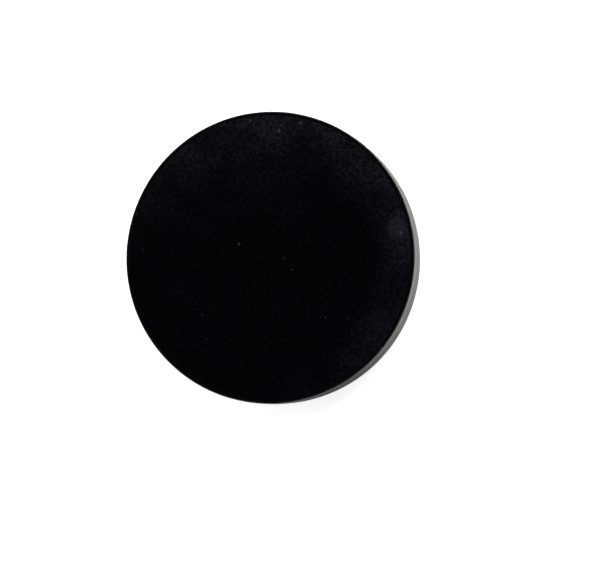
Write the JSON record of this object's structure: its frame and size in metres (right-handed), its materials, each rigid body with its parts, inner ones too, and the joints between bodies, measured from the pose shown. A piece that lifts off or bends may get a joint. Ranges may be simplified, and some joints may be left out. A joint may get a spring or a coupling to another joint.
{
  "type": "ink stick",
  "caption": "Round flat ink stick: a moulded black cake with plain faces, a seamed wall and a satin lacquered edge, ground with water on an inkstone.",
  "frame": {"origin": "centre of the back face, on the cake's axis, where it rests on a table", "axes": "+Z along the cake's axis, from the back face to the front face; X and Y lie in the faces"},
  "size_m": [0.07, 0.07, 0.012],
  "materials": {
    "ink": "pressed soot and glue, fine matte grain with a faint burnish",
    "lacquer": "thin black lacquer film, satin, rubbed along its edges"
  },
  "bodies": {
    "root": {"ink_core": "ink", "edge_lacquer": "lacquer"}
  },
  "joints": []
}
